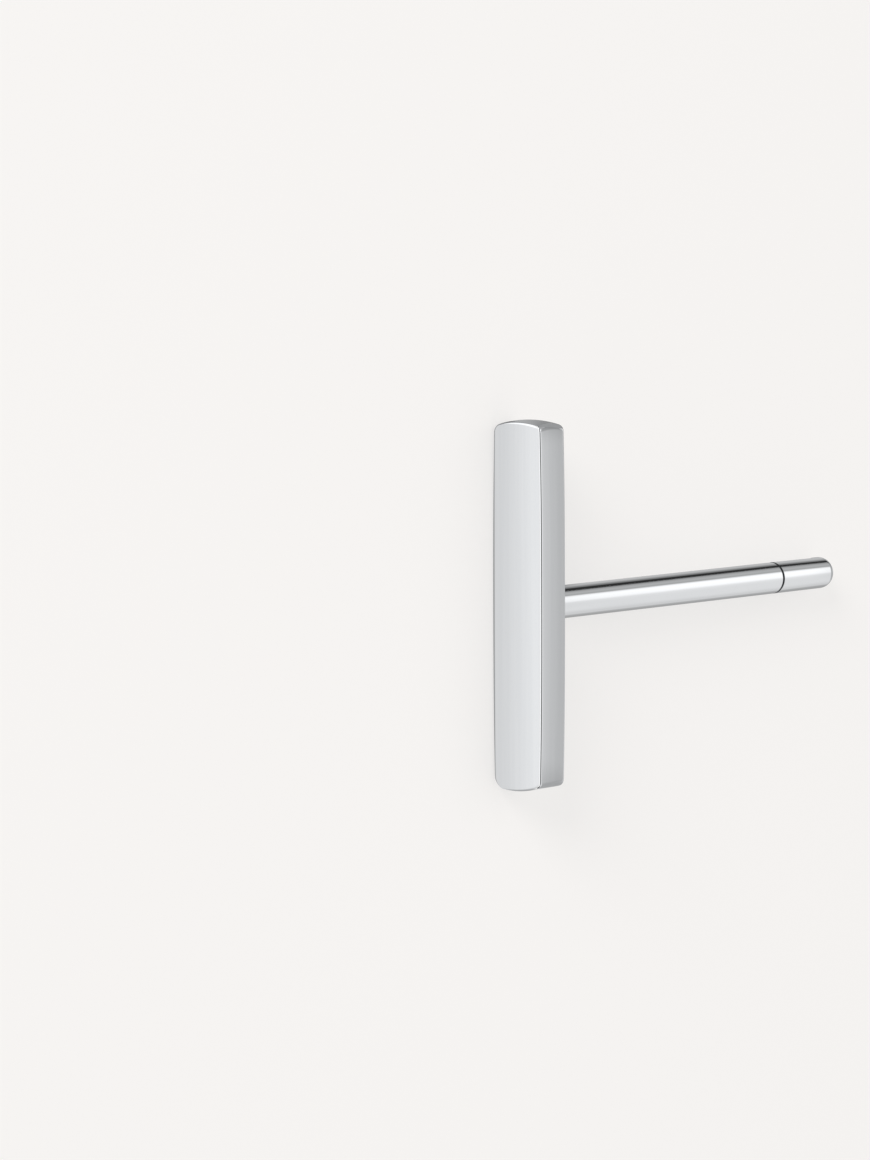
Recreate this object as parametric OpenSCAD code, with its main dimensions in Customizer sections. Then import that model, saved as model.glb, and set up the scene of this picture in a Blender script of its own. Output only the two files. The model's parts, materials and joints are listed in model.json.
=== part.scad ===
/* [Bar] */
// Length of the bar from end to end
bar_length = 8.8; // [6:0.4:16]
// Width of the bar across its front, at the middle
bar_width = 1.52; // [1.3:0.02:2.4]
// Thickness of the bar from its front to its back
bar_thickness = 0.9; // [0.76:0.02:1.4]
// How far each long side falls back from the middle of the bar to its ends
side_swell = 0.05; // [0:0.005:0.08]
// How far each end face falls back, across half the width, from the crest of its dome
end_dome = 0.1; // [0:0.01:0.16]
// Where the crest of the lower end lies, as a share of half the width from its middle to the floor side
lower_end_crest = 0.2; // [0:0.05:0.3]
// Radius that polishing leaves along the edges of the front and back faces
edge_radius = 0.05; // [0.03:0.01:0.08]

/* [Corners of the bar] */
// Radius of the corner at the upper end, on the side that lies uppermost at rest
upper_right_radius = 0.12; // [0.1:0.02:0.5]
// Radius of the corner at the upper end, on the side that meets the floor at rest
upper_left_radius = 0.16; // [0.1:0.02:0.5]
// Radius of the corner at the lower end, on the side that meets the floor at rest
lower_left_radius = 0.28; // [0.1:0.02:0.5]
// Radius of the corner at the lower end, on the side that lies uppermost at rest
lower_right_radius = 0.12; // [0.1:0.02:0.5]

/* [Post] */
// Diameter of the post that goes through the ear
post_diameter = 0.8; // [0.7:0.05:0.9]
// Length of the post from the back of the bar to its tip
post_length = 11.5; // [9:0.5:13]
// Radius of the rounding at the tip of the post
tip_radius = 0.3; // [0.1:0.05:0.3]
// Distance from the tip to the middle of the ring groove that a friction back clicks into
groove_from_tip = 2.33; // [1.5:0.01:3]
// Width of the round-bottomed ring groove along the post, which is half as deep
groove_width = 0.07; // [0.05:0.01:0.3]
// Height and reach of the fillet of solder round the root of the post
solder_fillet = 0.08; // [0.04:0.02:0.12]

/* [Hidden] */

metal = "silver";
half_length = bar_length / 2;
half_width = bar_width / 2;
half_thickness = bar_thickness / 2;
post_radius = post_diameter / 2;

// Where each long side bends, as shares of half its length. Between the last of them, in the middle,
// it is straight, so that the stud lies steady on it.
side_bends = [0.8, 0.6];
side_straight = 0.6;

// Straight steps in each corner, end and edge rounding of the bar, and round the post
corner_steps = 5;
end_steps = 6;
edge_steps = 3;
post_facets = 96;

// How deep the root of the post runs into the bar, so that the two are one solid
root_depth = 0.3;

// The stud lies on the long back edge of the bar and on the tip of the post. Both are round there,
// so the floor is the common tangent of two circles, and rest_tilt is its slope along the post.
edge_to_tip = post_length - tip_radius + edge_radius;
edge_below_tip = (half_width - edge_radius) - (post_radius - tip_radius);
rest_tilt = atan2(edge_below_tip, edge_to_tip)
    - asin((tip_radius - edge_radius) / norm([edge_to_tip, edge_below_tip]));
rest_height = (half_thickness - edge_radius) * sin(rest_tilt)
    + (half_width - edge_radius) * cos(rest_tilt) + edge_radius;

// Points on a quarter circle of radius r round the centre c, from the angle start
function quarter(c, r, start) = [
    for (i = [0 : corner_steps])
        let (a = start + 90 * i / corner_steps)
        c + r * [cos(a), sin(a)]
];

// Points that split the line from a to b into equal steps, without its two ends
function between(a, b, steps) = [for (i = [1 : steps - 1]) a + (b - a) * i / steps];

// The bends of the long side at the height y, from the end that the sign start names to the other
function along_side(start, y) = [
    for (bend = concat(side_bends, [for (i = [len(side_bends) - 1 : -1 : 0]) -side_bends[i]]))
        [start * bend * half_length, y]
];

// How far a long side has fallen back at the share along of half its length
function side_fall(along) =
    side_swell * pow(max(0, abs(along) - side_straight) / (1 - side_straight), 2);

// The bar's outline seen from its front, x along its length and y across its width, drawn in by
// inset all round. It runs counter-clockwise from the corner at +x and +y. The upper end is at -x.
function outline(inset) =
    let (
        half = [half_length - inset, half_width - inset],
        signs = [[1, 1], [-1, 1], [-1, -1], [1, -1]],
        radii = [lower_right_radius, upper_right_radius, upper_left_radius, lower_left_radius],
        corners = [
            for (i = [0 : 3])
                let (r = radii[i] - inset)
                quarter([signs[i].x * (half.x - r), signs[i].y * (half.y - r)], r, 90 * i)
        ]
    )
    [
        for (i = [0 : 3])
            let (last = corners[i][corner_steps], next = corners[(i + 1) % 4][0])
            each concat(
                corners[i],
                i % 2 == 0 ? along_side(signs[i].x, last.y) : between(last, next, end_steps)
            )
    ];

// How far the lower and upper end faces have fallen back at a share across of half the width
function end_fall(across, lower) = end_dome * pow(across + (lower ? lower_end_crest : 0), 2);

// The outline as a loop on the bar's surface at the depth y. Sides and ends fall back towards the
// corners.
function surface_loop(y, inset) = [
    for (p = outline(inset))
        let (
            along = p.x / half_length,
            across = p.y / half_width
        )
        [p.x - end_fall(across, p.x > 0) * along, y, p.y - side_fall(along) * across]
];

// Depth and inset of the loop at the angle a round an edge, on the front side = -1 or back side = 1
function edge_layer(a, side) =
    [side * (half_thickness - edge_radius + edge_radius * cos(a)), edge_radius * (1 - sin(a))];

// The bar: a skin over a stack of loops from the front face to the back face
module bar() {
    layers = concat(
        [for (i = [0 : edge_steps]) edge_layer(90 * i / edge_steps, -1)],
        [for (i = [edge_steps : -1 : 0]) edge_layer(90 * i / edge_steps, 1)]
    );
    loops = [for (layer = layers) surface_loop(layer[0], layer[1])];
    count = len(loops[0]);
    last = len(loops) - 1;
    polyhedron(
        points = [for (loop = loops) each loop],
        faces = concat(
            [[for (i = [count - 1 : -1 : 0]) i]],
            [[for (i = [0 : count - 1]) last * count + i]],
            [
                for (k = [0 : last - 1], i = [0 : count - 1])
                    let (
                        a = k * count + i,
                        b = k * count + (i + 1) % count
                    )
                    each [[a, b, b + count], [a, b + count, a + count]]
            ]
        )
    );
}

// Half the lengthwise section of the post, with its root below y = 0
module post_section() {
    shoulder = post_length - tip_radius;
    difference() {
        union() {
            translate([0, -root_depth])
                square([post_radius, root_depth + shoulder]);
            square([post_radius - tip_radius, post_length]);
            translate([post_radius - tip_radius, shoulder])
                intersection() {
                    circle(tip_radius, $fn = post_facets);
                    square(tip_radius);
                }
            polygon([
                [0, solder_fillet],
                [post_radius, solder_fillet],
                [post_radius + 2 * solder_fillet, -solder_fillet],
                [0, -solder_fillet]
            ]);
        }
        translate([post_radius, post_length - groove_from_tip])
            circle(groove_width / 2, $fn = post_facets);
    }
}

// The post: straight out of the middle of the bar's back
module post() {
    translate([0, half_thickness, 0])
        rotate([-90, 0, 0])
            rotate_extrude($fn = post_facets)
                post_section();
}

// Bar and post soldered into one piece of metal, lying as it comes to rest
module bar_stud() {
    color(metal)
        translate([0, -post_length / 2, rest_height])
            rotate([-rest_tilt, 0, 0])
                union() {
                    bar();
                    post();
                }
}

bar_stud();
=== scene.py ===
# %% [markdown]
# A bar stud earring in polished silver.
#
# The real thing is a slim metal bar with an ear post soldered to the middle of its back. It isn't
# worn here, so it lies on a table as it would come to rest by itself: on one long side of the bar
# and on the tip of the post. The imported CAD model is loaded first, because it fixes where the stud
# is and how large it is. This lesson then makes the same stud with softer, more exact forms and a
# real finish, and lets it stand in for the CAD solid.

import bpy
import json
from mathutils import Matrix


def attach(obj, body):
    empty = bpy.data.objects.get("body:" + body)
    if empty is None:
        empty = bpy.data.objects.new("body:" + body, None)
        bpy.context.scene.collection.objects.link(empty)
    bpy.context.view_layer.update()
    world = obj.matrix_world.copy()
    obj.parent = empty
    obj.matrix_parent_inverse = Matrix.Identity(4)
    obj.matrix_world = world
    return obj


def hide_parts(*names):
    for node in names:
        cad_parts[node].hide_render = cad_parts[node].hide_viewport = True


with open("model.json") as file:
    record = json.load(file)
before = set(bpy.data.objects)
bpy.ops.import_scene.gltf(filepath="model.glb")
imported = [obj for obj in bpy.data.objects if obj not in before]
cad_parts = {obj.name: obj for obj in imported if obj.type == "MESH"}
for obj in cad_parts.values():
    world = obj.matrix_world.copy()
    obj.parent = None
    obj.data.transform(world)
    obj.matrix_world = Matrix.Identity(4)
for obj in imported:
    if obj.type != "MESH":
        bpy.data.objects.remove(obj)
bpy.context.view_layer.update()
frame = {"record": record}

# %% [markdown]
# The numbers below are the stud's own sizes, in millimetres. The stud is so small that Blender's
# operators, which merge or ignore anything under a tenth of a millimetre, would spoil it at its real
# size. So one Blender unit is one millimetre while the stud is modelled, and it is brought down to
# metres at the end. While it is modelled, X runs along the bar, Y from its front to its back, and Z
# across its width, with the middle of the bar at the origin.

# %% Sizes of the stud
import json
import math

import bmesh
import bpy
from mathutils import Matrix, Vector

MM = 0.001

BAR_LENGTH = 8.8
BAR_WIDTH = 1.52
BAR_THICKNESS = 0.9
HALF_LENGTH = BAR_LENGTH / 2
HALF_WIDTH = BAR_WIDTH / 2
HALF_THICKNESS = BAR_THICKNESS / 2

POST_LENGTH = 11.5
POST_RADIUS = 0.4
SOLDER_FILLET = 0.08

record = frame["record"]
ear_post = next(mount for mount in record["mounts"] if mount["name"] == "ear_post")
post_axis = Vector(ear_post["axis"])
rest_tilt = math.atan2(post_axis.z, post_axis.y)
wall_middle = HALF_THICKNESS + SOLDER_FILLET + ear_post["dims"]["length_mm"] / 2
bar_middle = Vector(ear_post["pos_m"]) - post_axis * wall_middle * MM
print("The post slopes by", round(math.degrees(rest_tilt), 3), "degrees")
print("The middle of the bar lies at", tuple(bar_middle))

# %% [markdown]
# Modelling by hand means selecting something and then using an operator on it. These helpers do the
# selecting. They go by place: a vertex, edge or face is picked when all its corners pass a test.

# %% Helpers for selecting
NEAR = 1e-4


def select_only(piece):
    """Leaves one object selected and active, so that the next operator works on it alone."""
    bpy.ops.object.select_all(action="DESELECT")
    piece.select_set(True)
    bpy.context.view_layer.objects.active = piece


def pick(piece, kind, test):
    """In edit mode, selects the vertices, edges or faces of which every corner passes the test."""
    mesh = bmesh.from_edit_mesh(piece.data)
    bpy.ops.mesh.select_all(action="DESELECT")
    bpy.context.tool_settings.mesh_select_mode = tuple(kind == k for k in ("verts", "edges", "faces"))
    mesh.select_mode = {kind[:-1].upper()}
    chosen = 0
    for element in getattr(mesh, kind):
        corners = [element] if kind == "verts" else element.verts
        if all(test(corner.co) for corner in corners):
            element.select_set(True)
            chosen += 1
    mesh.select_flush_mode()
    bmesh.update_edit_mesh(piece.data)
    return chosen


# %% [markdown]
# The bar starts as a cube at its full size. On the real bar the four corners of the front are
# rounded by hand on a polishing wheel, so no two are quite alike, and each gets its own radius here.
# Then the whole rim of the front and of the back is rounded a little, as polishing always does. An
# extruded outline would do as well, but on a cube each rounding stays one bevel with one radius. The
# bevels come before the mesh is cut finer, because a bevel can't be wider than the faces beside it.

# %% The blank of the bar
CORNER_RADII = {(-1, 1): 0.12, (-1, -1): 0.16, (1, -1): 0.28, (1, 1): 0.12}
CORNER_STEPS = 12
RIM_RADIUS = 0.05
RIM_STEPS = 6

bpy.ops.object.select_all(action="DESELECT")
bpy.ops.mesh.primitive_cube_add(size=1)
bar = bpy.context.object
bar.name = "bar_stud_silver"
bpy.ops.object.mode_set(mode="EDIT")
bpy.ops.transform.resize(value=(BAR_LENGTH, BAR_THICKNESS, BAR_WIDTH), center_override=(0, 0, 0))

for (end, side), radius in CORNER_RADII.items():
    pick(bar, "edges", lambda co: co.x * end > HALF_LENGTH - NEAR and co.z * side > HALF_WIDTH - NEAR)
    bpy.ops.mesh.bevel(offset=radius, segments=CORNER_STEPS, affect="EDGES", clamp_overlap=False)

for face in (-1, 1):
    rim_edges = pick(bar, "edges", lambda co: co.y * face > HALF_THICKNESS - NEAR)
    bpy.ops.mesh.bevel(offset=RIM_RADIUS, segments=RIM_STEPS, affect="EDGES", clamp_overlap=False)
    print("Rounded a rim of", rim_edges, "edges")

# %% [markdown]
# A polished face of a hand-finished bar is never truly flat, and a mirror shows every hundredth of a
# millimetre. The long sides swell in the middle, and the ends are domed. To bend like that, the mesh
# needs vertices to bend at, so planes cut it into a fine grid. Subdividing would cut the narrow faces
# of the rims just as often as the wide ones, while a plane adds vertices only where it passes.

# %% Cut the bar into a grid
LENGTH_CUTS = 67
WIDTH_CUTS = 15
DEPTH_CUTS = 9


def cut_across(axis, places):
    """In edit mode, cuts the whole mesh with a plane across the axis at each of the places."""
    normal = [float(k == axis) for k in range(3)]
    for place in places:
        bpy.ops.mesh.select_all(action="SELECT")
        point = [place * n for n in normal]
        bpy.ops.mesh.bisect(plane_co=point, plane_no=normal, threshold=NEAR / 10)


def spread(first, last, count):
    """Evenly spaced places from first to last, both included."""
    return [first + (last - first) * k / (count - 1) for k in range(count)]


cut_across(0, spread(-HALF_LENGTH, HALF_LENGTH, LENGTH_CUTS + 2)[1:-1])
cut_across(1, spread(-HALF_THICKNESS, HALF_THICKNESS, DEPTH_CUTS + 2)[1:-1])
cut_across(2, spread(-HALF_WIDTH, HALF_WIDTH, WIDTH_CUTS + 2)[1:-1])
bpy.ops.object.mode_set(mode="OBJECT")
print("The bar has", len(bar.data.vertices), "vertices")

# %% [markdown]
# Now the mesh is bent. A Displace modifier pushes vertices along one axis, and a vertex group says
# how much of the push each vertex gets. So the form is a formula in the weights, and the modifier
# does the moving. Dragging with proportional editing would bend the mesh too, but a formula gives
# the same form every time.

# %% A helper for bending
def displace(piece, name, axis, reach, weight_of):
    """Moves each vertex along the axis by reach times its weight, with an applied modifier."""
    group = piece.vertex_groups.new(name=name)
    for vertex in piece.data.vertices:
        weight = weight_of(vertex.co)
        if weight > 0:
            group.add([vertex.index], min(weight, 1.0), "REPLACE")
    push = piece.modifiers.new(name, "DISPLACE")
    push.direction = axis
    push.mid_level = 0.0
    push.strength = reach
    push.vertex_group = name
    select_only(piece)
    bpy.ops.object.modifier_apply(modifier=name)
    piece.vertex_groups.clear()


# %% [markdown]
# Both ends are domed across the width of the bar, where the maker filed them round. The upper one is
# crowned from front to back as well. The lower one is straight that way, and its crest lies a fifth
# of half the width off the middle.

# %% Dome the ends
END_DOME = 0.1
UPPER_CROWN = 0.05
LOWER_CREST = -0.2
DEEPEST_FALL = END_DOME + UPPER_CROWN


def upper_end_share(co):
    """How far the upper end has fallen back here, as a share of its deepest fall."""
    fall = END_DOME * (co.z / HALF_WIDTH) ** 2 + UPPER_CROWN * (co.y / HALF_THICKNESS) ** 2
    return fall / DEEPEST_FALL * max(0, -co.x) / HALF_LENGTH


def lower_end_share(co):
    """The same for the lower end."""
    fall = END_DOME * (co.z / HALF_WIDTH - LOWER_CREST) ** 2
    return fall / DEEPEST_FALL * max(0, co.x) / HALF_LENGTH


displace(bar, "upper_end", "X", DEEPEST_FALL, upper_end_share)
displace(bar, "lower_end", "X", -DEEPEST_FALL, lower_end_share)
print("With its ends domed the bar is", round(bar.dimensions.x, 4), "mm long")

# %% [markdown]
# The long sides fall back towards the ends, by a power of the distance from the middle that was
# found by measuring the bar's outline. The front falls off a trace along its long edges, as a wheel
# leaves it, and that gives its reflection a soft gradient.

# %% Swell the sides and crown the front
SIDE_SWELL = 0.05
SIDE_POWER = 2.6
FRONT_CROWN = 0.012
FRONT_POWER = 5


def side_share(co):
    """How far a long side has fallen back here, as a share of its swell."""
    return (abs(co.x) / HALF_LENGTH) ** SIDE_POWER * abs(co.z) / HALF_WIDTH


def front_share(co):
    """How far the front has fallen back here towards its long edges, as a share of its crown."""
    return (abs(co.z) / HALF_WIDTH) ** FRONT_POWER * max(0, -co.y / HALF_THICKNESS)


displace(bar, "upper_side", "Z", -SIDE_SWELL, lambda co: side_share(co) if co.z > 0 else 0)
displace(bar, "lower_side", "Z", SIDE_SWELL, lambda co: side_share(co) if co.z < 0 else 0)
displace(bar, "front_crown", "Y", FRONT_CROWN, front_share)
print("The bar measures", [round(side, 4) for side in bar.dimensions], "mm")

# %% [markdown]
# The post is a straight silver wire, 0.8 mm thick, with a rounded tip that doesn't scratch the ear.
# A cylinder is a good start, with a bevel for the tip. Its root reaches a little way into the bar,
# so that the two overlap when they are joined.

# %% The blank of the post
POST_SIDES = 96
ROOT_DEPTH = 0.3
TIP_RADIUS = 0.3
TIP_STEPS = 12
QUARTER_TURN = math.radians(90)

tip = HALF_THICKNESS + POST_LENGTH
root = HALF_THICKNESS - ROOT_DEPTH

bpy.ops.mesh.primitive_cylinder_add(
    vertices=POST_SIDES, radius=POST_RADIUS, depth=tip - root,
    location=(0, (tip + root) / 2, 0), rotation=(QUARTER_TURN, 0, 0))
post = bpy.context.object
select_only(post)
bpy.ops.object.transform_apply(location=True, rotation=True, scale=True)
bpy.ops.object.mode_set(mode="EDIT")
pick(post, "edges", lambda co: co.y > tip - NEAR)
bpy.ops.mesh.bevel(offset=TIP_RADIUS, segments=TIP_STEPS, affect="EDGES", clamp_overlap=False)
print("The post reaches from", round(root, 3), "to", round(tip, 3), "mm")

# %% [markdown]
# Near its tip the post has a fine ring groove that a friction back clicks into, and at its root a
# small fillet of solder runs out onto the bar. Spinning an outline would make both. Here they are
# turned as on a lathe instead, on the cylinder that is there already: it is cut across where its
# outline changes, and each ring of vertices is then scaled to its own radius.

# %% Turn the groove and the fillet
GROOVE_FROM_TIP = 2.33
GROOVE_RADIUS = 0.035
GROOVE_STEPS = 8
FILLET_STEPS = 6

groove = tip - GROOVE_FROM_TIP


def turn(rings):
    """Cuts the post at each place along it and scales the ring of vertices there to a radius."""
    cut_across(1, [place for place, radius in rings])
    for place, radius in rings:
        pick(post, "verts", lambda co: abs(co.y - place) < NEAR)
        share = radius / POST_RADIUS
        bpy.ops.transform.resize(value=(share, 1, share), center_override=(0, place, 0))


groove_turns = [math.pi * k / GROOVE_STEPS for k in range(GROOVE_STEPS + 1)]
turn([(groove + GROOVE_RADIUS * math.cos(a), POST_RADIUS - GROOVE_RADIUS * math.sin(a))
      for a in groove_turns])

fillet_turns = [QUARTER_TURN * k / FILLET_STEPS for k in range(1, FILLET_STEPS + 1)]
turn([(HALF_THICKNESS + SOLDER_FILLET * (1 - math.cos(a)),
       POST_RADIUS + SOLDER_FILLET * (1 - math.sin(a))) for a in fillet_turns])
pick(post, "verts", lambda co: co.y < HALF_THICKNESS)
fillet_foot = 1 + SOLDER_FILLET * (1 - math.sin(fillet_turns[0])) / POST_RADIUS
bpy.ops.transform.resize(value=(fillet_foot, 1, fillet_foot), center_override=(0, 0, 0))
bpy.ops.object.mode_set(mode="OBJECT")
print("The groove lies", round(groove, 3), "mm from the middle of the bar")

# %% [markdown]
# The finishes come next, because the solder joint is easier to make when each part already carries
# its own. Both are bright silver. A polished metal has almost no colour of its own: what the eye
# reads as polish is how sharply it mirrors the room, so the work goes into roughness and into very
# fine relief. To keep the node trees readable, a small class lets the maths be written as Python
# expressions.

# %% A class for shader maths
class Flow:
    """A socket of a node tree. Sums on it add Math nodes, and node() adds any other node."""

    def __init__(self, tree, socket=None):
        self.tree = tree
        self.socket = socket

    def node(self, kind, settings=None, inputs=None, output=0):
        """Adds a node, gives it its settings and then its inputs, and returns one of its outputs."""
        made = self.tree.nodes.new(kind)
        for name, value in (settings or {}).items():
            if name == "stops":
                while len(made.color_ramp.elements) < len(value):
                    made.color_ramp.elements.new(0.5)
                for stop, (place, level) in zip(made.color_ramp.elements, value):
                    stop.position = place
                    stop.color = (level, level, level, 1)
            else:
                setattr(made, name, value)
        for name, value in (inputs or {}).items():
            if isinstance(value, Flow):
                self.tree.links.new(value.socket, made.inputs[name])
            else:
                made.inputs[name].default_value = value
        return Flow(self.tree, made.outputs[output] if len(made.outputs) else None)

    def math(self, operation, first, second=0.0):
        return self.node("ShaderNodeMath", {"operation": operation}, {0: first, 1: second})

    def __add__(self, other):
        return self.math("ADD", self, other)

    __radd__ = __add__

    def __sub__(self, other):
        return self.math("SUBTRACT", self, other)

    def __rsub__(self, other):
        return self.math("SUBTRACT", other, self)

    def __mul__(self, other):
        return self.math("MULTIPLY", self, other)

    __rmul__ = __mul__

    def size(self):
        """The value without its sign."""
        return self.math("ABSOLUTE", self)

    def step(self, low, high):
        """0 where the value is under low, 1 where it is over high, and smooth in between."""
        return self.node("ShaderNodeMapRange", {"interpolation_type": "SMOOTHSTEP"},
                         {"Value": self, "From Min": low, "From Max": high})

    def toward(self, other, share):
        """Moves this value toward another one by a share between 0 and 1."""
        return self + share * (other - self)

    def parts(self):
        """The X, Y and Z of a vector."""
        split = self.node("ShaderNodeSeparateXYZ", {}, {"Vector": self})
        return [Flow(self.tree, part) for part in split.socket.node.outputs]


# %% [markdown]
# Every pattern on the metal is laid out in the stud's own millimetres. Object coordinates give the
# place on the finished piece, in metres and on the table, and a Mapping node set to Texture undoes
# the place, the slope and the scale of the resting stud. Polishing marks run lengthwise, so the noise
# is stretched along the length by giving that direction few repeats. A photograph of scratches would
# do as well, but noise needs no file and doesn't repeat.

# %% Helpers for materials
NOISE_ROUGHNESS = 0.55


def empty_material(name):
    """A material without nodes, and the start of its flow."""
    material = bpy.data.materials.new(name)
    material.use_nodes = True
    material.node_tree.nodes.clear()
    return material, Flow(material.node_tree)


def place_in_mm(flow, middle=(0, 0, 0), tilt=0.0):
    """The place on an object in millimetres, from a middle given in metres and along a tilted post."""
    where = flow.node("ShaderNodeTexCoord", output="Object")
    return flow.node("ShaderNodeMapping", {"vector_type": "TEXTURE"}, {
        "Vector": where, "Location": middle, "Rotation": (tilt, 0, 0), "Scale": (MM, MM, MM)})


def streaks(flow, place, per_mm, detail=2.0):
    """Noise with its own number of repeats per millimetre along each axis."""
    stretched = flow.node("ShaderNodeMapping", {}, {"Vector": place, "Scale": per_mm})
    return flow.node("ShaderNodeTexNoise", {}, {
        "Vector": stretched, "Scale": 1.0, "Detail": detail, "Roughness": NOISE_ROUGHNESS})


def finish_metal(flow, colours, tone, roughness, relief, height):
    """Joins tone, roughness and relief into a metal surface. Height is the relief's, in millimetres."""
    colour = flow.node("ShaderNodeMix", {"data_type": "RGBA"}, {
        "Factor": tone, "A": (*colours[0], 1), "B": (*colours[1], 1)}, output="Result")
    normal = flow.node("ShaderNodeBump", {}, {
        "Height": relief, "Strength": 1.0, "Distance": height * MM})
    metal = flow.node("ShaderNodeBsdfPrincipled", {}, {
        "Base Color": colour, "Metallic": 1.0, "Roughness": roughness, "Normal": normal})
    flow.node("ShaderNodeOutputMaterial", {}, {"Surface": metal})


# %% [markdown]
# The bar's finish is a bright polish. Under a lens it shows very fine lines along its length, left by
# the last wheel, and broad soft patches where the polish is a trace duller. Both change how sharply
# it mirrors, so they go into roughness, and the fine lines are a relief of a few hundredths of a
# thousandth of a millimetre as well. Wider lines and the patches are also a trace darker, which
# keeps the long face from looking like one flat gradient.

# %% The finish of the bar
SILVER_BRIGHT = (0.912, 0.926, 0.943)
SILVER_SHADE = (0.88, 0.896, 0.915)
PATCHES_PER_MM = (0.5, 1.2, 1.2)
PATCH_TONE = 0.4
PATCH_ROUGHNESS = 0.03
WIDE_LINES_PER_MM = (0.12, 7.0, 7.0)
WIDE_LINE_RANGE = (0.35, 0.65)
WIDE_LINE_TONE = 0.6
WHEEL_LINES_PER_MM = (0.8, 60.0, 60.0)
WHEEL_LINE_HEIGHT = 0.00003
WHEEL_ROUGHNESS = 0.03
BAR_ROUGHNESS = 0.05

bar_polish, flow = empty_material("bar_polish")
place = place_in_mm(flow, tuple(bar_middle), rest_tilt)
patches = streaks(flow, place, PATCHES_PER_MM)
wheel_lines = streaks(flow, place, WHEEL_LINES_PER_MM, detail=3.0)
wide_lines = streaks(flow, place, WIDE_LINES_PER_MM, detail=4.0)
finish_metal(
    flow, (SILVER_BRIGHT, SILVER_SHADE),
    tone=PATCH_TONE * patches + WIDE_LINE_TONE * wide_lines.step(*WIDE_LINE_RANGE),
    roughness=BAR_ROUGHNESS + PATCH_ROUGHNESS * patches + WHEEL_ROUGHNESS * wheel_lines,
    relief=wheel_lines,
    height=WHEEL_LINE_HEIGHT)
print("The finish of the bar has", len(bar_polish.node_tree.nodes), "nodes")

# %% [markdown]
# The post is drawn wire: it was pulled through a die, which leaves long straight lines along it, and
# was then tumbled bright. So it is a sharper mirror than the bar, with longer and stronger lines. The
# solder at its root and the floor of the groove can't be reached by the wheel and stay duller. The
# groove is painted near black as well, a painted shade for the inside of the deep groove.

# %% The finish of the post
# The groove's near-black colour is painted shade for the inside of the deep groove.
GROOVE_PAINTED_SHADE = (0.06, 0.063, 0.068)
DRAWN_LINES_PER_MM = (22.0, 0.15, 22.0)
DRAWN_LINE_HEIGHT = 0.00008
DRAWN_ROUGHNESS = 0.03
BANDS_PER_MM = (4.0, 0.4, 4.0)
BAND_TONE = 0.06
BAND_RELIEF = 0.6
POST_ROUGHNESS = 0.025
GROOVE_ROUGHNESS = 0.3
SOLDER_ROUGHNESS = 0.1

post_polish, flow = empty_material("post_polish")
place = place_in_mm(flow, tuple(bar_middle), rest_tilt)
down_post = place.parts()[1]
drawn_lines = streaks(flow, place, DRAWN_LINES_PER_MM, detail=3.0)
bands = streaks(flow, place, BANDS_PER_MM)
# in_groove dulls the finish in the groove and also carries the groove's painted shade.
in_groove = 1 - (down_post - groove).size().step(0.9 * GROOVE_RADIUS, 1.5 * GROOVE_RADIUS)
by_root = 1 - down_post.step(HALF_THICKNESS, HALF_THICKNESS + 2 * SOLDER_FILLET)
dullness = DRAWN_ROUGHNESS * drawn_lines + GROOVE_ROUGHNESS * in_groove + SOLDER_ROUGHNESS * by_root
finish_metal(
    flow, (SILVER_BRIGHT, GROOVE_PAINTED_SHADE),
    # Painted shade: in the groove the tone goes all the way to the near-black groove colour.
    tone=(BAND_TONE * bands).toward(1, in_groove),
    roughness=POST_ROUGHNESS + dullness,
    relief=drawn_lines + BAND_RELIEF * bands,
    height=DRAWN_LINE_HEIGHT)
print("The finish of the post has", len(post_polish.node_tree.nodes), "nodes")

# %% [markdown]
# Bar and post are one piece of metal, so they are joined into one closed shell. They could be left
# as two meshes that overlap, but then walls would be hidden in the metal. A Boolean modifier takes
# those away, and it hands each part's finish on to its own faces. Only then is the shell brought to
# its real size and laid on the table.

# %% Solder the post to the bar
bar.data.materials.append(bar_polish)
post.data.materials.append(post_polish)
solder = bar.modifiers.new("solder", "BOOLEAN")
solder.operation = "UNION"
solder.solver = "EXACT"
solder.material_mode = "TRANSFER"
solder.object = post
select_only(bar)
bpy.ops.object.modifier_apply(modifier="solder")
bpy.data.objects.remove(post)

bar.scale = (MM, MM, MM)
bar.rotation_euler = (rest_tilt, 0, 0)
bar.location = bar_middle
select_only(bar)
bpy.ops.object.transform_apply(location=True, rotation=True, scale=True)

shell = bmesh.new()
shell.from_mesh(bar.data)
open_edges = sum(not edge.is_manifold for edge in shell.edges)
print("Open edges:", open_edges, "volume in mm3:", round(shell.calc_volume() / MM**3, 3))
shell.free()

# %% [markdown]
# A mirror finish needs clean normals. Smooth shading alone would bend the reflection where a wide
# flat face meets the narrow faces of a rounded rim. The Weighted Normal modifier gives the wide face
# the say there, and edges sharper than 35 degrees, such as the lips of the groove, stay crisp.

# %% Smooth the shading
SHARP_ANGLE = 35

select_only(bar)
bpy.ops.object.shade_smooth_by_angle(angle=math.radians(SHARP_ANGLE))
weighted = bar.modifiers.new("weighted", "WEIGHTED_NORMAL")
weighted.mode = "FACE_AREA"
weighted.keep_sharp = True
bpy.ops.object.modifier_apply(modifier="weighted")
print("The stud has", len(bar.data.polygons), "faces")

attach(bar, "root")
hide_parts("bar_stud")

# %% [markdown]
# The table is a plain, pale sheet that runs far past the picture. As on a photographer's light table
# it is lit from below too, which keeps it white and its shadows faint: part of its light is its own
# glow, and part is the studio's light on its matt surface. Its size is in metres.

# %% The table
TABLE_REACH = 4.0
TABLE_COLOUR = (0.352, 0.331, 0.311, 1)
TABLE_GLOW = (0.62, 0.62, 0.62, 1)

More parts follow.
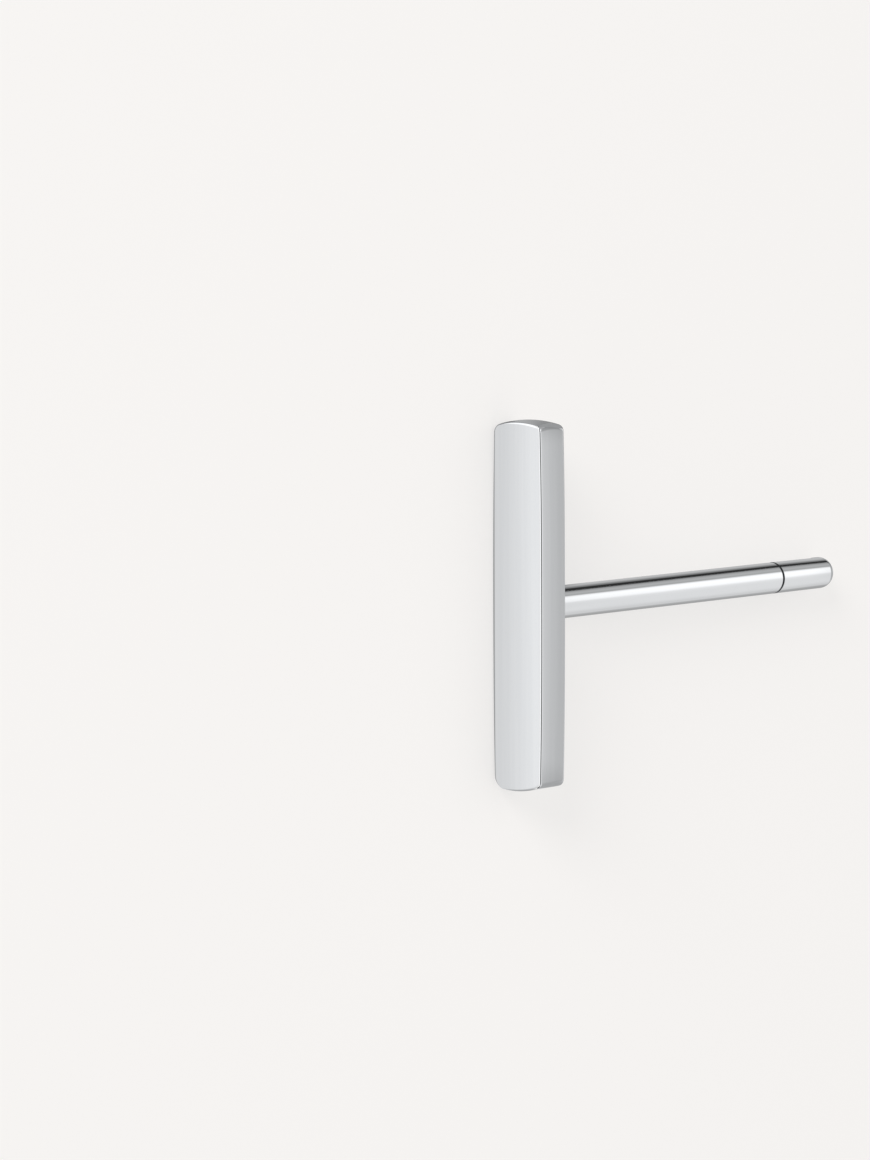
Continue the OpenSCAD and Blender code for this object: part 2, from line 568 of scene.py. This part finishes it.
bpy.ops.mesh.primitive_plane_add(size=TABLE_REACH, location=(0, 0, 0))
table = bpy.context.object
table.name = "table"
paper, flow = empty_material("table_paper")
matt = flow.node("ShaderNodeBsdfDiffuse", {}, {"Color": TABLE_COLOUR})
lit_below = flow.node("ShaderNodeEmission", {}, {"Color": TABLE_GLOW, "Strength": 1.0})
sheet = flow.node("ShaderNodeAddShader", {}, {0: matt, 1: lit_below})
flow.node("ShaderNodeOutputMaterial", {}, {"Surface": sheet})
table.data.materials.append(paper)
print("The table is", TABLE_REACH, "m wide")

# %% [markdown]
# A polished stud shows the room, so the light is the room. The world is a soft studio that depends
# only on direction. Long strips of light and dark run over the stud from front to back, like strip
# lights hung beside each other: a black card low on one side, grey cloth above it, one bright soft
# box, and pale walls on the other side. The strips are a ramp over the angle that a direction is
# rolled about the post, and each entry is such an angle in degrees and a level of light. A picture
# of a real studio would light the stud too, but in a ramp each strip can be moved by itself. Without
# the one dark line a round silver wire looks like white plastic.

# %% The strips of the studio
STRIPS = [(-180, 0.5), (-94, 0.02), (-90, 0.04), (-81, 0.36), (-66, 0.48), (-50, 0.4), (-42, 0.95),
          (-32, 1.16), (-6, 1.1), (9, 0.84), (24, 0.79), (70, 0.77), (92, 0.68), (180, 0.5)]
FULL_TURN = 360

world = bpy.data.worlds.new("studio")
bpy.context.scene.world = world
world.use_nodes = True
world.node_tree.nodes.clear()
flow = Flow(world.node_tree)
direction = flow.node("ShaderNodeTexCoord", output="Generated")
sideways, forwards, upwards = direction.parts()
roll = sideways.math("ARCTAN2", sideways, upwards) * math.degrees(1)
strips = flow.node("ShaderNodeValToRGB", {
    "stops": [(angle / FULL_TURN + 0.5, level) for angle, level in STRIPS]},
    {"Fac": roll * (1 / FULL_TURN) + 0.5})
print("The brightest strip has level", max(level for angle, level in STRIPS))

# %% [markdown]
# Two walls close the studio. The one behind the camera is dark above, where the photographer stands,
# and bright along the table, so the edges of the bar show a bright line beside a dark one. The far
# wall is a plain grey. The pairs of numbers say where a wall or its shade begins and where it is
# complete, as parts of a direction of length 1.

# %% The walls of the studio
NEAR_WALL_FOOT = 1.4
NEAR_WALL_TOP = 0.09
NEAR_WALL_SHADE = (0.2, 0.5)
NEAR_WALL_EDGE = (0.15, 0.45)
FAR_WALL = 0.42
FAR_WALL_EDGE = (0.84, 0.93)

near_wall = NEAR_WALL_FOOT - (NEAR_WALL_FOOT - NEAR_WALL_TOP) * upwards.step(*NEAR_WALL_SHADE)
brightness = strips.toward(near_wall, (0 - forwards).step(*NEAR_WALL_EDGE))
brightness = brightness.toward(FAR_WALL, forwards.step(*FAR_WALL_EDGE))
studio = flow.node("ShaderNodeBackground", {}, {"Color": (1, 1, 1, 1), "Strength": brightness})
flow.node("ShaderNodeOutputWorld", {}, {"Surface": studio})
print("The studio has", len(world.node_tree.nodes), "nodes")

# %% [markdown]
# Photographers of jewellery also put small cards close to a piece, just out of the picture, to shape
# what one face of it shows. Each card here glows by itself with a soft gradient, and only reflections
# see it. The glow is a function of the place on the card, in millimetres from the middle of the
# table: step() makes a mask for each area that the reflection should show lighter or darker, and the
# number before the mask is how much brightness it adds or takes away.

# %% A helper for reflection cards
def card(name, low, high, glow_of):
    """A flat card between two corners in millimetres. glow_of gets the place on it as x, y and z."""
    span = Vector(high) - Vector(low)
    bpy.ops.mesh.primitive_plane_add(size=1, location=(0, 0, 0))
    made = bpy.context.object
    made.name = name
    if span.z == 0:
        made.scale = (span.x * MM, span.y * MM, 1)
    elif span.y == 0:
        made.rotation_euler = (QUARTER_TURN, 0, 0)
        made.scale = (span.x * MM, span.z * MM, 1)
    else:
        made.rotation_euler = (0, QUARTER_TURN, 0)
        made.scale = (span.z * MM, span.y * MM, 1)
    made.location = (Vector(low) + Vector(high)) / 2 * MM
    select_only(made)
    bpy.ops.object.transform_apply(location=True, rotation=True, scale=True)
    paint, flow = empty_material(name + "_paint")
    glow = flow.node("ShaderNodeEmission", {}, {
        "Color": (1, 1, 1, 1), "Strength": glow_of(*place_in_mm(flow).parts())})
    flow.node("ShaderNodeOutputMaterial", {}, {"Surface": glow})
    made.data.materials.append(paint)
    made.visible_camera = False
    made.visible_diffuse = False
    made.visible_shadow = False
    print("Made", name, "from", low, "to", high)


# %% [markdown]
# The first cards lie on the table, a few thousandths of a millimetre above it so that the two don't
# mix. The bar's front stands nearly upright and mirrors the strip of table before it. What its foot
# shows lies close by, and what its upper edge shows lies further out, so the card's gradient becomes
# the face's gradient. Its grey close to the bar and a dark line close under the rim are painted shade
# for the bar's contact shadow on the table. That dark line and a tone of its own past each end draw
# the fine outline that a polished edge has. The foot card carries the glow on round the lower end.

# %% The cards in front of the bar
SHEET = 0.004
UNDER_BAR = -5.96
BEHIND_BAR = -4.9


def front_glow(x, y, z):
    """Pale far out, with painted shade for the bar's contact shadow: greyer close by, and a dark line
    under the rim.
    """
    # Painted shade: the grey near the bar and the dark line under its rim stand in for its contact
    # shadow.
    painted_shade_near_bar = y.step(-8.2, -6.3)
    painted_shade_under_rim = y.step(-6.33, -6.25) * (1 - x.step(4.2, 4.45)) * (1 - y.step(-5.9, -5.6))
    past_upper_end = 1 - x.step(-4.9, -4.5)
    past_lower_end = x.step(4.6, 5.2)
    return 0.87 - 0.17 * painted_shade_near_bar - 0.42 * painted_shade_under_rim + 0.4 * past_upper_end - 0.3 * past_lower_end


card("front_card", (-7, -9.5, 2 * SHEET), (7, UNDER_BAR, 2 * SHEET), front_glow)
card("foot_card", (4.1, UNDER_BAR, 2 * SHEET), (7, BEHIND_BAR, 2 * SHEET), front_glow)

# %% [markdown]
# The other cards on the table lie to both sides of the post and run on to the horizon. The grey one
# is what the domed upper end shows, and further back it darkens away from the post, which mirrors it
# in its upper edge. The far one is grey close to the post, a painted shade for the post's shadow on
# the table, and draws the grey line along the post's lower edge. A narrow one beyond the tip gives
# the tip its outline.

# %% The cards beside the post
FAR = 400
BESIDE_POST = 0.5


def grey_glow(x, y, z):
    """Grey beyond the upper end of the bar, and beside the post dark further out."""
    behind_front = y.step(-5.7, -5.35)
    behind_back = y.step(-5.4, -3.8)
    beyond_end = 0.11 + 0.32 * behind_front - 0.16 * behind_back
    beside_post = 0.03 + 0.2 * x.step(-3.2, -1.9) + 0.3 * x.step(-1.9, -0.8)
    return beyond_end.toward(beside_post, y.step(-4.0, -2.5))


def far_glow(x, y, z):
    """Grey close to the post, a painted shade for the post's shadow on the table, and paler further
    out.
    """
    return 0.38 + 0.28 * x.step(1.0, 3.5)


def tip_glow(x, y, z):
    """Grey close to the tip and paler further out."""
    return 0.42 + 0.24 * y.step(6.6, 10.0)


card("grey_card", (-FAR, -5.95, 3 * SHEET), (-BESIDE_POST, FAR, 3 * SHEET), grey_glow)
card("far_card", (BESIDE_POST, BEHIND_BAR, 2 * SHEET), (FAR, FAR, 2 * SHEET), far_glow)
card("tip_card", (-BESIDE_POST, 6.1, SHEET), (BESIDE_POST, FAR, SHEET), tip_glow)

# %% [markdown]
# The last cards stand upright. A tall one hangs behind the bar, over the post, and is mirrored by the
# bar's upper side alone. Two wings close the room under it to the left and right, for the rounded
# corners of that side. A dark one stands past the lower end, and gives the corner there the dark
# accent that makes metal look hard.

# %% The standing cards
STAND = -4.0
STAND_HEIGHT = 2.3
WING_GAP = 0.05
WING_START = 4.7


def tall_glow(x, y, z):
    """Paler high up, and darker where the ends of the upper side mirror it."""
    by_upper_end = (0 - x).step(3.7, 4.8)
    by_lower_end = x.step(3.9, 4.8)
    return (0.5 + 0.14 * z.step(2.5, 3.4)) * (1 - 0.4 * by_upper_end - 0.2 * by_lower_end)


def wing_glow(x, y, z):
    """Grey, and on the lower wing paler where it begins."""
    on_lower_wing = x.step(-5.0, WING_START)
    further_out = x.step(WING_START, 5.3)
    return 0.34 + 0.26 * on_lower_wing - 0.2 * further_out


def end_glow(x, y, z):
    """Nearly black, and dark grey high up."""
    return 0.05 + 0.2 * z.step(2.0, 4.0)


card("tall_card", (-6, STAND, STAND_HEIGHT), (6, STAND, 9), tall_glow)
card("upper_wing", (-9, STAND, WING_GAP), (-WING_START, STAND, STAND_HEIGHT), wing_glow)
card("lower_wing", (WING_START, STAND, WING_GAP), (9, STAND, STAND_HEIGHT), wing_glow)
card("end_card", (8, -10, WING_GAP), (8, -5.6, 4), end_glow)

# %% [markdown]
# One soft box lights the table. It stands low, on the camera's side and towards the upper end of the
# bar, and throws the faint shadow. It is kept out of the reflections, which are complete already. Its
# numbers are in metres and watts.

# %% The soft box
BOX_FROM = Vector((-0.5, -0.75, 0.3))
BOX_AWAY = 0.3
BOX_SIZE = 0.14
BOX_POWER = 0.5

box_light = bpy.data.lights.new("soft_box", "AREA")
box_light.shape = "DISK"
box_light.size = BOX_SIZE
box_light.energy = BOX_POWER
soft_box = bpy.data.objects.new("soft_box", box_light)
bpy.context.scene.collection.objects.link(soft_box)
soft_box.location = BOX_FROM.normalized() * BOX_AWAY
soft_box.rotation_euler = BOX_FROM.to_track_quat("Z", "Y").to_euler()
soft_box.visible_glossy = False
soft_box.visible_camera = False
print("The soft box stands", round(soft_box.location.z, 3), "m above the table")

# %% [markdown]
# The camera was found by fitting the edges of the bar and of the post, as the photograph shows them,
# and its numbers are in millimetres. It looks down on the table at 43 degrees and is rolled by a
# quarter turn, so that the lying bar stands upright in the picture. Its long lens keeps the bar's
# edges nearly parallel. Standard view keeps the whites of the table as they are.

# %% The camera
CAMERA_PLACE = Vector((-9.4512, -81.6731, 67.9906))
CAMERA_FORWARD = Vector((0.08688, 0.731239, -0.676566))
CAMERA_DOWN = Vector((0.996213, -0.066142, 0.056439))
CAMERA_LENS = 133.448
SENSOR = 36.0
NEAREST_SEEN = 10
FARTHEST_SEEN = 20000

lens = bpy.data.cameras.new("camera")
lens.lens = CAMERA_LENS
lens.sensor_width = SENSOR
lens.clip_start = NEAREST_SEEN * MM
lens.clip_end = FARTHEST_SEEN * MM
camera = bpy.data.objects.new("camera", lens)
bpy.context.scene.collection.objects.link(camera)
back = -CAMERA_FORWARD.normalized()
right = (-CAMERA_DOWN).cross(back).normalized()
up = back.cross(right)
turned = Matrix((right, up, back)).transposed().to_4x4()
camera.matrix_world = Matrix.Translation(CAMERA_PLACE * MM) @ turned
bpy.context.scene.camera = camera
bpy.context.scene.view_settings.view_transform = "Standard"
print("The camera is", round((CAMERA_PLACE - bar_middle / MM).length, 1), "mm from the bar")
